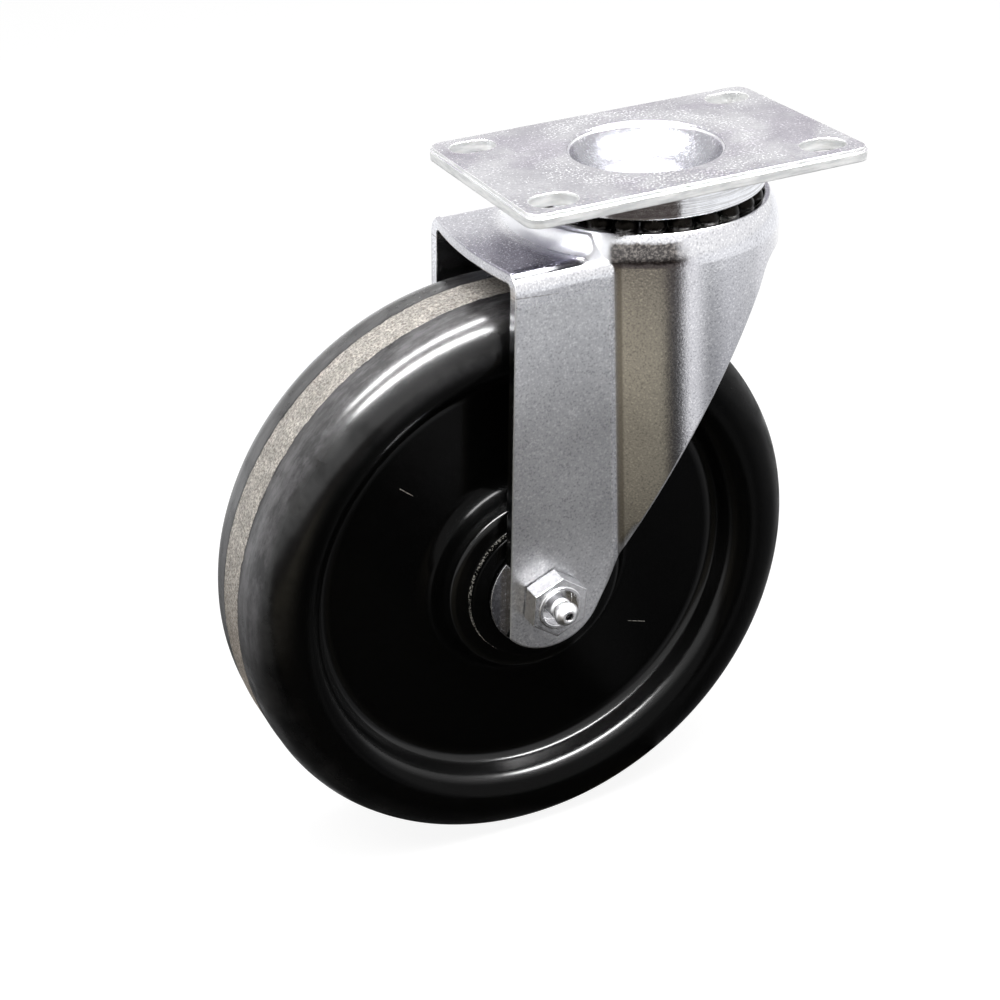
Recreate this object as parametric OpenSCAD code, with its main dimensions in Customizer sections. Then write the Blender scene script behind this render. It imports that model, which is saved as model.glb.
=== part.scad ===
// Swivel plate castor with a solid moulded wheel on a roller bearing.
// The origin is on the swivel axis at the plate's top face. +Z is up and the axle trails towards -X.
// The side with the grease fitting faces -Y.

/* [Mounting plate] */
// Length of the plate, along X
plate_len = 92.1; // [88:0.1:110]
// Width of the plate, along Y
plate_wid = 60.3; // [60:0.1:80]
// Thickness of the plate
plate_thick = 3.2; // [2.5:0.1:4]
// Radius of the plate's corners
plate_corner_r = 4; // [1:0.5:8]
// Distance from the centre of a bolt slot to the plate's end
slot_inset_x = 9.55; // [8:0.05:14]
// Distance from the centre of a bolt slot to the plate's side
slot_inset_y = 7.925; // [7:0.025:9]
// Width of a bolt slot
slot_wid = 8.8; // [6:0.1:9.2]
// Length of a bolt slot, end to end
slot_len = 12; // [10:0.1:13]
// Radius of the pressed dish at the plate's top face
dish_r = 19.2; // [17:0.1:20]
// Depth of the pressed dish
dish_depth = 7.6; // [6.5:0.1:9]
// Radius of the dish's flat floor
dish_floor_r = 8.6; // [8:0.1:9.4]
// Roll of the dish's mouth and of the plate's top edge
plate_edge_r = 0.9; // [0.3:0.1:1.2]

/* [Swivel bearing] */
// Outer radius of the upper race ring
ring_r = 29.4; // [29.2:0.1:29.8]
// Height of the upper race ring
ring_h = 5.55; // [4.5:0.05:7]
// Radius of the circle that the load balls run on
load_pitch_r = 26; // [25.8:0.1:26.2]
// Diameter of a load ball
load_ball_d = 6.35; // [6:0.05:6.4]
// Number of load balls
load_ball_n = 25; // [12:1:25]
// Radius of the circle that the lower balls run on
lower_pitch_r = 18.6; // [18.4:0.1:18.8]
// Diameter of a lower ball
lower_ball_d = 4.76; // [4.2:0.02:4.8]
// Number of lower balls
lower_ball_n = 23; // [12:1:23]
// Depth of the groove that a ball runs in
groove_depth = 1.1; // [0.8:0.05:1.4]
// Gap between a ball and its groove
ball_clear = 0.06; // [0.03:0.01:0.09]
// Height of the load balls' centres above the drum's rim
rim_below_ball = 0.5; // [0.2:0.1:0.8]
// Outer radius of the lower race cup
cup_r = 22.4; // [22:0.1:22.6]
// Thickness of the lower race cup
cup_thick = 2.6; // [2:0.1:3]
// Diameter of the kingpin
kingpin_d = 9.5; // [8:0.1:10]
// Radius of the kingpin's heads
kingpin_head_r = 7.2; // [6.6:0.1:7.4]

/* [Fork] */
// Thickness of the fork's sheet
fork_thick = 3; // [2.4:0.1:3.4]
// Outer radius of the drum round the swivel
drum_r = 32.9; // [32.5:0.1:35]
// Radius of the arc that rounds the drum's shoulder
shoulder_arc_r = 13.4; // [11:0.1:16]
// Height of the drum's rim over the flat crown
rim_rise = 4.65; // [4:0.05:6]
// Depth of the drum's front wall below its rim
drum_front_h = 12; // [10:0.1:14]
// Radius of the fillet where the drum rises from the crown
ramp_r = 4.2; // [2:0.1:5]
// Outer radius of the bend between crown and leg
bend_r = 4.6; // [4:0.1:7]
// Radius of the swivel hole in the drum's floor
swivel_hole_r = 14.4; // [14:0.1:15]
// Distance from the swivel axis back to the axle
trail = 41.8; // [38:0.1:46]
// Reach of the crown's rear edge behind the axle
crown_rear = 5.9; // [4:0.1:8]
// Reach of a leg's rear edge behind the axle, at the axle's height
leg_rear = 11; // [9:0.1:13]
// Outward bow of the crown's rear edge
crown_bow = 1.8; // [0.8:0.1:3]
// Radius of a leg's rounded end
leg_end_r = 14.7; // [13.4:0.1:16]
// Slope of a leg's front edge from level, in degrees
leg_slope = 61.3; // [58:0.1:63]
// Hollow of a leg's front edge between the drum and the axle's height
edge_hollow = 1.9; // [0.2:0.1:2.4]
// Radius where the drum's lower edge turns into a leg's front edge
front_blend_r = 7; // [3:0.5:9]

/* [Wheel] */
// Diameter of the wheel
wheel_d = 152.4; // [140:0.1:160]
// Width of the wheel over its rim
wheel_wid = 38.1; // [36:0.1:39]
// Width of the flat tread land
land_wid = 10.2; // [6:0.1:14]
// Radius of the rim's rounded shoulder
rim_shoulder_r = 9.5; // [7:0.1:11]
// Gap between the tread and the crown's underside
wheel_clear = 8.9; // [6:0.1:14]
// Angle by which the rounded side wraps into the recess
rim_wrap = 42; // [30:1:50]
// Thickness of the web between rim and hub
web_thick = 19; // [14:0.1:22]
// Taper of the recess's outer wall, across its depth
recess_taper = 4.3; // [2:0.1:6]
// Length of the hub beyond each end of the rollers
hub_cover = 2.5; // [2.4:0.1:4]
// Radius of the hub's end face
hub_r = 19.4; // [18:0.1:21]
// Radius of the step round the hub
hub_step_r = 24.4; // [22:0.1:26]
// Radius where the hub meets the web
hub_foot_r = 30; // [28:0.1:34]

/* [Wheel bearing and axle] */
// Diameter of the axle bolt
axle_d = 9.52; // [9:0.01:9.6]
// Outer diameter of the spanner bushing
bushing_d = 12.7; // [12.4:0.01:13]
// Diameter of a roller
roller_d = 4.76; // [4:0.01:5]
// Number of rollers
roller_n = 8; // [6:1:8]
// Length of a roller
roller_len = 35; // [30:0.5:40]
// Running gap on each side of a roller
roller_clear = 0.05; // [0.02:0.01:0.09]
// Width of the cage bars
cage_bar = 1.1; // [0.8:0.1:1.2]
// Thickness of the cage's end rings
cage_ring_thick = 1.8; // [1.2:0.1:2]
// Radius of the thrust washers
washer_r = 15.1; // [14:0.1:17]
// Thickness of the thrust washers
washer_thick = 1.2; // [0.8:0.05:2]
// Side play of the hub between its two washers, on each side
side_play = 0.3; // [0.1:0.05:0.8]
// Play between axle, bushing and leg holes
axle_clear = 0.08; // [0.04:0.01:0.14]
// Width across the flats of the bolt head and nut
hex_af = 14.3; // [13.5:0.1:16]
// Height of the bolt's head
head_h = 5.7; // [5:0.1:7]
// Radius of the recess in the bolt's head
head_recess_r = 4.9; // [4.4:0.1:5.2]
// Depth of the recess in the bolt's head
head_recess_h = 3.2; // [2:0.1:4]
// Turn of the bolt's head from corner up, in degrees
head_turn = -7; // [-30:1:30]
// Height of the lock nut's hexagon
nut_h = 7.4; // [6:0.1:9]
// Height of the lock nut's collar
nut_collar_h = 3.2; // [2.6:0.1:4]
// Length of the grease fitting outside the bolt
fitting_len = 8.4; // [7.5:0.1:10]
// Radius of the grease fitting's head
fitting_r = 3.2; // [3:0.05:3.4]

/* [Hidden] */
$fn = 96;
roller_names = [for (i = [1:roller_n]) str("roller_", i)];

// Widths that follow from the rollers outwards, and the places of the slots
hub_len = roller_len + 2 * hub_cover;
fork_gap = hub_len + 2 * (washer_thick + side_play);
bolt_spacing_x = plate_len - 2 * slot_inset_x;
bolt_spacing_y = plate_wid - 2 * slot_inset_y;

// Heights of the swivel bearing, counted down from the plate's top face
plate_z = -plate_thick;
ring_z = plate_z - ring_h;
load_groove_r = load_ball_d / 2 + ball_clear;
load_z = ring_z - load_groove_r + groove_depth;
rim_z = load_z - rim_below_ball;
flange_z = rim_z - fork_thick;
lower_groove_r = lower_ball_d / 2 + ball_clear;
lower_z = flange_z - lower_groove_r + groove_depth;
cup_z = lower_z - lower_groove_r + groove_depth;
dish_z = -dish_depth;
dish_arc_r = (pow(dish_r - dish_floor_r, 2) + pow(dish_depth, 2)) / (2 * dish_depth);
dish_under_z = dish_z - plate_thick;
dish_back_r = dish_floor_r
    + sqrt(pow(dish_arc_r + plate_thick, 2) - pow(dish_arc_r - dish_depth + plate_thick, 2));
ring_clear = 0.4;
cup_hub_z = dish_under_z - cup_thick;

// Fork and axle
crown_z = rim_z - rim_rise;
drum_front_z = rim_z - drum_front_h;
axle_z = crown_z - fork_thick - wheel_clear - wheel_d / 2;
leg_out = fork_gap / 2 + fork_thick;
shoulder_z = rim_z - 7.6;
fork_low_z = axle_z - leg_end_r - 5;

// Wheel bearing
bush_r = bushing_d / 2;
roller_pitch_r = bush_r + roller_clear + roller_d / 2;
bore_r = roller_pitch_r + roller_d / 2 + roller_clear;
cage_half = roller_len / 2 + 0.2 + cage_ring_thick;
fitting_seat = leg_out + head_h - head_recess_h;
fitting_shank_r = 2.4;
fitting_shank_h = 5;
thread_fit = 0.05;
valve_r = 1.3;
valve_seat_r = 1.1;

// Points along an arc of a circle, by centre, radius and two angles
function arc(cx, cy, r, a0, a1, n) =
    [for (i = [0:n]) [cx + r * cos(a0 + (a1 - a0) * i / n), cy + r * sin(a0 + (a1 - a0) * i / n)]];

// Puts a shape that is built round Z on the axle, its +Z end towards the grease fitting
module on_axle() {
    translate([-trail, 0, axle_z]) rotate([90, 0, 0]) children();
}

// A straight slot through the plate, long side along X
module slot(len, wid, depth) {
    for (s = [-1, 1]) translate([s * (len - wid) / 2, 0, 0]) cylinder(r = wid / 2, h = depth, center = true);
    cube([len - wid, wid, depth], center = true);
}

module plate_outline(inset) {
    r = plate_corner_r - inset;
    hx = plate_len / 2 - inset;
    hy = plate_wid / 2 - inset;
    for (sx = [-1, 1], sy = [-1, 1]) translate([sx * (hx - r), sy * (hy - r)]) circle(r = r);
    square([2 * hx, 2 * (hy - r)], center = true);
    square([2 * (hx - r), 2 * hy], center = true);
}

// The pressed dish: its floor is flat and its wall is one arc up to the mouth
module dish_profile(grow) {
    intersection() {
        union() {
            translate([dish_floor_r, dish_arc_r - dish_depth]) circle(r = dish_arc_r + grow);
            translate([0, dish_z - grow]) square([dish_floor_r, dish_depth + grow + 1]);
        }
        translate([0, dish_z - grow]) square([dish_r + 12, dish_depth + grow + 1]);
    }
}

module top_plate() {
    color("gainsboro") difference() {
        union() {
            translate([0, 0, plate_z]) linear_extrude(plate_thick - plate_edge_r) plate_outline(0);
            translate([0, 0, -plate_edge_r]) linear_extrude(plate_edge_r) plate_outline(plate_edge_r * 0.6);
            rotate_extrude() intersection() {
                dish_profile(plate_thick);
                translate([0, dish_under_z]) square([dish_back_r + 1, dish_depth + plate_thick / 2]);
            }
        }
        rotate_extrude() dish_profile(0);
        rotate_extrude() difference() {
            translate([0, -plate_edge_r]) square([dish_r + plate_edge_r, plate_edge_r + 1]);
            translate([dish_r + plate_edge_r, -plate_edge_r]) circle(r = plate_edge_r);
        }
        for (sx = [-1, 1], sy = [-1, 1])
            translate([sx * bolt_spacing_x / 2, sy * bolt_spacing_y / 2, plate_z / 2])
                slot(slot_len, slot_wid, plate_thick + 2);
        translate([0, 0, dish_under_z - 1]) cylinder(r = kingpin_d / 2 + thread_fit, h = plate_thick + 2);
    }
}

module upper_race() {
    color("silver") rotate_extrude() difference() {
        translate([dish_back_r + ring_clear, ring_z]) square([ring_r - dish_back_r - ring_clear, ring_h]);
        translate([load_pitch_r, load_z]) circle(r = load_groove_r);
        translate([ring_r, ring_z]) rotate(45) square(0.8, center = true);
    }
}

module ball_ring(pitch_r, z, d, n) {
    for (i = [0:n - 1]) rotate(i * 360 / n) translate([pitch_r, 0, z]) sphere(r = d / 2);
}

module load_balls() {
    color("whitesmoke") ball_ring(load_pitch_r, load_z, load_ball_d, load_ball_n);
}

module lower_balls() {
    color("whitesmoke") ball_ring(lower_pitch_r, lower_z, lower_ball_d, lower_ball_n);
}

// A low domed rivet head on a flat seat
module rivet_head(r, h) {
    dome_r = (r * r + h * h) / (2 * h);
    intersection() {
        translate([0, 0, h - dome_r]) sphere(r = dome_r);
        cylinder(r = r, h = h);
    }
}

module kingpin() {
    head_h = 1.3;
    tail_h = 2.6;
    color("lightgray") {
        translate([0, 0, cup_hub_z]) cylinder(r = kingpin_d / 2, h = dish_z - cup_hub_z);
        translate([0, 0, dish_z]) rivet_head(kingpin_head_r, head_h);
        translate([0, 0, cup_hub_z]) mirror([0, 0, 1]) rivet_head(kingpin_head_r, tail_h);
    }
}

// The lower race: a pressed cup whose hub bears on the dish and whose rim carries the lower balls
module lower_race() {
    neck_r = swivel_hole_r - 1;
    under_z = cup_z - cup_thick;
    color("darkgray") rotate_extrude() difference() {
        polygon([
            [kingpin_d / 2 + thread_fit, dish_under_z], [dish_floor_r, dish_under_z],
            [neck_r, rim_z - 0.6], [neck_r, cup_z], [cup_r, cup_z],
            [cup_r, under_z + 0.8], [cup_r - 0.8, under_z], [neck_r - 0.6, under_z],
            [neck_r - cup_thick, under_z + 1.4], [neck_r - cup_thick, cup_hub_z - 1.2],
            [neck_r - cup_thick - 1.6, cup_hub_z], [kingpin_d / 2 + thread_fit, cup_hub_z]
        ]);
        translate([lower_pitch_r, lower_z]) circle(r = lower_groove_r);
    }
}

// Outer or inner section of the crown and legs, seen along X
module channel_section(half_w, top_z, r) {
    translate([-half_w, fork_low_z]) square([2 * half_w, top_z - r - fork_low_z]);
    translate([-half_w + r, fork_low_z]) square([2 * (half_w - r), top_z - fork_low_z]);
    for (s = [-1, 1]) translate([s * (half_w - r), top_z - r]) circle(r = r);
}

module channel(half_w, top_z, r) {
    len = trail + leg_rear + crown_bow + 10;
    rotate([90, 0, -90]) linear_extrude(len) channel_section(half_w, top_z, r);
}

// The drum's outside: a wall, a rounded shoulder and a flat rim
module drum_outer_profile(wall_r, arc_r) {
    translate([0, fork_low_z]) square([wall_r, shoulder_z - fork_low_z]);
    intersection() {
        union() {
            translate([wall_r - arc_r, shoulder_z]) circle(r = arc_r);
            translate([0, shoulder_z]) square([wall_r - arc_r, arc_r]);
        }
        translate([0, shoulder_z]) square([wall_r, rim_z - shoulder_z]);
    }
}

// What is hollow under the drum: all but the pressed raceway and the floor round the swivel hole
module drum_hollow_profile() {
    difference() {
        union() {
            translate([0, fork_low_z - 1]) square([drum_r - fork_thick, shoulder_z - fork_low_z + 1]);
            intersection() {
                translate([drum_r - shoulder_arc_r, shoulder_z]) circle(r = shoulder_arc_r - fork_thick);
                translate([0, shoulder_z]) square([drum_r, flange_z - shoulder_z + fork_thick]);
            }
            translate([0, shoulder_z - 0.1]) square([drum_r - shoulder_arc_r, flange_z - shoulder_z + 0.1]);
        }
        translate([load_pitch_r, load_z]) circle(r = load_groove_r + fork_thick);
        translate([0, flange_z]) square([load_pitch_r, fork_thick + 1]);
    }
}

module drum_cuts_profile() {
    translate([load_pitch_r, load_z]) circle(r = load_groove_r);
    translate([0, flange_z - 1]) square([swivel_hole_r, fork_thick + 2]);
    translate([lower_pitch_r, lower_z]) circle(r = lower_groove_r);
}

// The fillet between drum and crown, cut off where the crown bends down into the legs
module ramp() {
    foot_r = drum_r + ramp_r - 0.5;
    flat_half = leg_out - bend_r;
    intersection() {
        rotate_extrude() difference() {
            translate([drum_r - fork_thick, crown_z - 1]) square([foot_r - drum_r + fork_thick, ramp_r + 1]);
            translate([foot_r, crown_z + ramp_r]) circle(r = ramp_r);
        }
        translate([-foot_r, 0, crown_z - 1]) rotate([90, 0, 90]) linear_extrude(foot_r - 18)
            polygon([[-flat_half - 3.6, -1], [flat_half + 3.6, -1], [flat_half - 1.4, ramp_r + 1],
                     [-flat_half + 1.4, ramp_r + 1]]);
    }
}

// Where the straight line of a leg's front edge lies at a height
function front_edge_x(z) = -trail + (leg_end_r + (z - axle_z) * cos(leg_slope)) / sin(leg_slope);

// The sliver that makes a leg's front edge hollow: part of a large circle, from the drum to the axle's height
module front_edge_hollow() {
    high_z = drum_front_z - front_blend_r;
    high = [front_edge_x(high_z), high_z];
    low = [front_edge_x(axle_z), axle_z];
    r = (pow(norm(high - low), 2) / 4 + pow(edge_hollow, 2)) / (2 * edge_hollow);
    intersection() {
        translate((high + low) / 2 + (r - edge_hollow) * [sin(leg_slope), -cos(leg_slope)])
            circle(r = r, $fn = 360);
        translate(low - [5, 0]) square([high[0] - low[0] + 10, high_z - axle_z]);
    }
}

// Side view of the fork, X across and Z up: rear edge, round end, sloping front edge and drum edge
module side_outline() {
    front_x = front_edge_x(drum_front_z);
    tangent = [-trail + leg_end_r * sin(leg_slope), axle_z - leg_end_r * cos(leg_slope)];
    blend = front_blend_r * tan(leg_slope / 2);
    blend_low = [front_x - blend * cos(leg_slope), drum_front_z - blend * sin(leg_slope)];
    top_z = rim_z + 5;
    lean = (leg_rear - crown_rear) / (crown_z - axle_z);
    difference() {
        intersection() {
            polygon([[-trail - crown_rear + lean * (top_z - crown_z), top_z], [drum_r + 5, top_z],
                     [drum_r + 5, fork_low_z], [-trail - leg_rear - lean * (axle_z - fork_low_z), fork_low_z]]);
            union() {
                polygon([[-trail - leg_end_r - 5, top_z], [drum_r + 5, top_z], [drum_r + 5, drum_front_z],
                         [front_x, drum_front_z], tangent, [-trail, axle_z], [-trail - leg_end_r, axle_z]]);
                translate([-trail, axle_z]) circle(r = leg_end_r);
                difference() {
                    polygon([[front_x, drum_front_z + 0.1], [front_x + blend, drum_front_z + 0.1],
                             [front_x + blend, drum_front_z - 0.01], blend_low, [front_x - 1, drum_front_z]]);
                    translate([front_x + blend, drum_front_z - front_blend_r]) circle(r = front_blend_r);
                }
            }
        }
        front_edge_hollow();
    }
}

// The crown's rear edge bows outwards between the legs
module crown_bow() {
    half = fork_gap / 2;
    r = (half * half + crown_bow * crown_bow) / (2 * crown_bow);
    intersection() {
        translate([-trail - crown_rear - crown_bow + r, 0, crown_z - fork_thick])
            cylinder(r = r, h = fork_thick);
        translate([-trail - crown_rear - crown_bow, -half, crown_z - fork_thick])
            cube([crown_bow + 1, fork_gap, fork_thick]);
    }
}

module fork() {
    color("lightsteelblue") difference() {
        union() {
            intersection() {
                union() {
                    channel(leg_out, crown_z, bend_r);
                    rotate_extrude() drum_outer_profile(drum_r, shoulder_arc_r);
                }
                translate([0, drum_r + 5, 0]) rotate([90, 0, 0]) linear_extrude(2 * drum_r + 10) side_outline();
            }
            ramp();
            crown_bow();
        }
        channel(fork_gap / 2, crown_z - fork_thick, bend_r - fork_thick);
        rotate_extrude() drum_hollow_profile();
        rotate_extrude() drum_cuts_profile();
        on_axle() cylinder(r = axle_d / 2 + axle_clear, h = 3 * leg_out, center = true);
    }
}

// One half of the wheel's section: radius across, distance from the middle plane up
module wheel_half_section() {
    r = wheel_d / 2;
    half = wheel_wid / 2;
    crown_drop = 0.25;
    bead = [r - crown_drop - rim_shoulder_r, half - rim_shoulder_r];
    wrap = [bead[0] - rim_shoulder_r * sin(rim_wrap), bead[1] + rim_shoulder_r * cos(rim_wrap)];
    web = web_thick / 2;
    wall = wrap[0] - recess_taper;
    hub = hub_len / 2;
    step = web + 0.72 * (hub - web);
    translate(bead) circle(r = rim_shoulder_r);
    polygon(concat(
        [[bore_r, 0], [r, 0], [r, land_wid / 2], [r - crown_drop, bead[1]], bead, wrap],
        arc(wall - 1.2, web + 1.5, 1.5, -20, -90, 4),
        arc(hub_foot_r + 1, web + 5, 5, -90, -150, 6),
        arc(hub_step_r - 1.2, step - 1.2, 1.2, 10, 80, 4),
        [[hub_r + 0.4, hub - 0.9], [hub_r, hub], [bore_r, hub]]));
}

module wheel() {
    color("dimgray") on_axle() rotate_extrude() {
        wheel_half_section();
        mirror([0, 1]) wheel_half_section();
    }
}

module roller(i) {
    color("silver") on_axle() rotate(360 * i / roller_n) translate([roller_pitch_r, 0, -roller_len / 2])
        cylinder(r = roller_d / 2, h = roller_len);
}

// Two end rings joined by bars that lie between the rollers
module roller_cage() {
    in_r = roller_pitch_r - roller_d / 2 + 0.5;
    out_r = roller_pitch_r + roller_d / 2 - 0.5;
    bar_h = out_r - in_r - 0.6;
    color("goldenrod") on_axle() {
        for (s = [-1, 1]) translate([0, 0, s * (cage_half - cage_ring_thick / 2)]) difference() {
            cylinder(r = out_r, h = cage_ring_thick, center = true);
            cylinder(r = in_r, h = cage_ring_thick + 1, center = true);
        }
        for (i = [1:roller_n]) rotate(360 * (i + 0.5) / roller_n) translate([roller_pitch_r, 0, 0])
            cube([bar_h, cage_bar, 2 * cage_half - cage_ring_thick], center = true);
    }
}

module spanner_bushing() {
    grease_hole_r = 1.2;
    color("silver") on_axle() difference() {
        cylinder(r = bush_r, h = fork_gap, center = true);
        cylinder(r = axle_d / 2 + axle_clear, h = fork_gap + 1, center = true);
        rotate([0, 90, 0]) cylinder(r = grease_hole_r, h = bushing_d + 1, center = true);
    }
}

// A flat washer with a pressed lip, standing against the leg
module thrust_washer() {
    lip = 0.5;
    color("silver") rotate_extrude() difference() {
        translate([bush_r + axle_clear, 0]) square([washer_r - bush_r - axle_clear, washer_thick]);
        translate([washer_r, 0]) rotate(45) square(lip, center = true);
    }
}

module thrust_washer_near() {
    on_axle() translate([0, 0, fork_gap / 2 - washer_thick]) thrust_washer();
}

module thrust_washer_far() {
    on_axle() mirror([0, 0, 1]) translate([0, 0, fork_gap / 2 - washer_thick]) thrust_washer();
}

// A hexagon with its corners turned off at the outer face
module hex_block(h, turn) {
    corner_r = hex_af / sqrt(3);
    turn_off = corner_r - hex_af / 2 + 0.3;
    intersection() {
        rotate(30 + turn) cylinder(r = corner_r, h = h, $fn = 6);
        union() {
            cylinder(r = corner_r + 0.1, h = h - turn_off * 0.58);
            translate([0, 0, h - turn_off * 0.58])
                rotate_extrude() polygon([[0, 0], [corner_r, 0], [corner_r - turn_off, turn_off * 0.58],
                                          [0, turn_off * 0.58]]);
        }
    }
}

module axle_bolt() {
    grease_r = 1.5;
    end = leg_out + nut_h + nut_collar_h + 1.5;
    chamfer = 0.9;
    face_h = 0.4;
    lip_h = 0.3;
    color("lightgray") on_axle() difference() {
        union() {
            translate([0, 0, leg_out + face_h]) hex_block(head_h - face_h, head_turn);
            translate([0, 0, leg_out]) cylinder(r = hex_af / 2 - 0.35, h = face_h + 1);
            translate([0, 0, leg_out + 1]) cylinder(r = head_recess_r + 0.9, h = head_h + lip_h - 1);
            translate([0, 0, -end + chamfer]) cylinder(r = axle_d / 2, h = end + leg_out - chamfer);
            translate([0, 0, -end]) cylinder(r1 = axle_d / 2 - chamfer, r2 = axle_d / 2, h = chamfer);
        }
        translate([0, 0, fitting_seat]) cylinder(r = head_recess_r, h = head_recess_h + 1);
        translate([0, 0, fitting_seat - fitting_shank_h])
            cylinder(r = fitting_shank_r + thread_fit, h = fitting_shank_h + 1);
        cylinder(r = grease_r, h = fitting_seat);
        rotate([0, 90, 0]) cylinder(r = grease_r, h = axle_d + 1, center = true);
    }
}

module lock_nut() {
    collar_r = 6.3;
    color("silver") on_axle() mirror([0, 0, 1]) translate([0, 0, leg_out]) difference() {
        union() {
            hex_block(nut_h, 0);
            cylinder(r = collar_r, h = nut_h + nut_collar_h);
        }
        translate([0, 0, -1]) cylinder(r = axle_d / 2 + thread_fit, h = nut_h + nut_collar_h + 2);
        translate([0, 0, nut_h]) cylinder(r = collar_r - 0.7, h = nut_collar_h - 0.7);
    }
}

module nut_insert() {
    color("dodgerblue") on_axle() mirror([0, 0, 1]) translate([0, 0, leg_out + nut_h]) difference() {
        cylinder(r = 5.6 - thread_fit, h = nut_collar_h - 0.7);
        translate([0, 0, -1]) cylinder(r = axle_d / 2 + thread_fit, h = nut_collar_h + 2);
    }
}

// A drive-in grease fitting: shank, body, neck and rounded head, with a bore for its valve
module grease_fitting() {
    body_r = 2.9;
    neck_r = 2.4;
    round_r = 1.3;
    head_z = fitting_len - 1.9;
    color("white") on_axle() translate([0, 0, fitting_seat]) rotate_extrude() difference() {
        polygon(concat(
            [[0, -fitting_shank_h + 0.3], [fitting_shank_r, -fitting_shank_h + 0.3], [fitting_shank_r, 0],
             [body_r, 0], [body_r, fitting_len * 0.42], [neck_r, fitting_len * 0.5],
             [neck_r, fitting_len * 0.58]],
            arc(fitting_r - round_r, head_z, round_r, -55, 40, 8),
            [[1.8, fitting_len], [0, fitting_len]]));
        translate([0, -fitting_shank_h]) square([valve_r + 0.1, fitting_len + fitting_shank_h - 1.2]);
        square([valve_seat_r, fitting_len + 1]);
    }
}

module fitting_ball() {
    drop = 1.2 + valve_r - 0.62;
    color("silver") on_axle() translate([0, 0, fitting_seat + fitting_len - drop - 0.3]) sphere(r = valve_r);
}

// The valve spring: a round wire swept along a helix
module fitting_spring() {
    wire_r = 0.16;
    coil_r = valve_r - wire_r - 0.1;
    turns = 5;
    steps = 14 * turns;
    sides = 6;
    length = 5.4;
    start = fitting_seat + fitting_len - 1.2 - 2 * valve_r - length;
    points = [for (i = [0:steps], j = [0:sides - 1])
        let (a = 360 * turns * i / steps, b = 360 * j / sides, r = coil_r + wire_r * cos(b))
        [r * cos(a), r * sin(a), length * i / steps + wire_r * sin(b)]];
    walls = [for (i = [0:steps - 1], j = [0:sides - 1]) let (k = (j + 1) % sides)
        [i * sides + j, (i + 1) * sides + j, (i + 1) * sides + k, i * sides + k]];
    ends = [[for (j = [0:sides - 1]) j], [for (j = [0:sides - 1]) (steps + 1) * sides - 1 - j]];
    color("silver") on_axle() translate([0, 0, start]) polyhedron(points = points, faces = concat(walls, ends));
}

top_plate();
upper_race();
load_balls();
kingpin();
lower_race();
lower_balls();
fork();
wheel();
roller_cage();
spanner_bushing();
thrust_washer_near();
thrust_washer_far();
axle_bolt();
lock_nut();
nut_insert();
grease_fitting();
fitting_ball();
fitting_spring();
for (i = [1:roller_n]) roller(i);
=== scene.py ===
import math

import bpy
import numpy as np
from mathutils import Matrix, Vector


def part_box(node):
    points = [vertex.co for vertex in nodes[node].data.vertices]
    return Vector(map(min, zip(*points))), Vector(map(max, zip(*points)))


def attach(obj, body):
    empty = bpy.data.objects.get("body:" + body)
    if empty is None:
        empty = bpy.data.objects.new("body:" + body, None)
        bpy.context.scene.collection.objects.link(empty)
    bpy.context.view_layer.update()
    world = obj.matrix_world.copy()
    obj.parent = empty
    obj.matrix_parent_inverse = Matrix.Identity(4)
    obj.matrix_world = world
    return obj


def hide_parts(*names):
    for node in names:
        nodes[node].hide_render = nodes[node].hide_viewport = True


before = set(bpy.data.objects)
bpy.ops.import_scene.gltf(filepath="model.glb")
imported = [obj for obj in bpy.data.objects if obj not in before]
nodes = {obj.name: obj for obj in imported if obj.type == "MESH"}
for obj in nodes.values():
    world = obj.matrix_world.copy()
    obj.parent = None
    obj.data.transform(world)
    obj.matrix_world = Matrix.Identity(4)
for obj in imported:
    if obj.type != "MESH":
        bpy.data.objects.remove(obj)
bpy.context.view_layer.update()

mm = 0.001
print("frame loaded:", len(nodes), "nodes")

# Where things are, in millimetres, read from the frame so that every piece sits on the CAD.
wheelLow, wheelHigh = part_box("wheel")
axleX = (wheelLow.x + wheelHigh.x) / 2 / mm
axleZ = (wheelLow.z + wheelHigh.z) / 2 / mm
floorZ = wheelLow.z / mm
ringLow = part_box("upper_race")[0].z / mm


# Turns a grid of points (rows, columns, 3), in millimetres, into a mesh of quads.
# Each quad joins a point to its neighbours in the next row and column, and a closed direction wraps round.
def gridMesh(name, points, closeRows=False, closeColumns=False):
    rows, columns = points.shape[:2]
    index = np.arange(rows * columns).reshape(rows, columns)
    below = np.roll(index, -1, 0) if closeRows else index[1:]
    here = index if closeRows else index[:-1]
    if closeColumns:
        a, b = here, np.roll(here, -1, 1)
        c, d = np.roll(below, -1, 1), below
    else:
        a, b, c, d = here[:, :-1], here[:, 1:], below[:, 1:], below[:, :-1]
    faces = np.stack([a, b, c, d], -1).reshape(-1, 4)
    mesh = bpy.data.meshes.new(name)
    mesh.from_pydata((points.reshape(-1, 3) * mm).tolist(), [], faces.tolist())
    mesh.polygons.foreach_set("use_smooth", np.ones(len(faces), bool))
    mesh.update()
    return mesh


def addObject(name, data):
    obj = bpy.data.objects.new(name, data)
    bpy.context.scene.collection.objects.link(obj)
    return obj


def addPiece(name, mesh, body, material):
    piece = addObject(name, mesh)
    piece.data.materials.append(material)
    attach(piece, body)
    return piece


# Resamples a polyline of (radius, height) corners into points about a step apart, and keeps the corners.
def denseProfile(corners, step):
    corners = np.asarray(corners, float)
    lengths = np.hypot(*np.diff(corners, axis=0).T)
    counts = np.maximum(1, np.ceil(lengths / step).astype(int))
    parts = [corners[i] + (corners[i + 1] - corners[i]) * np.linspace(0, 1, n, endpoint=False)[:, None]
             for i, n in enumerate(counts)]
    return np.vstack(parts + [corners[-1:]])


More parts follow.
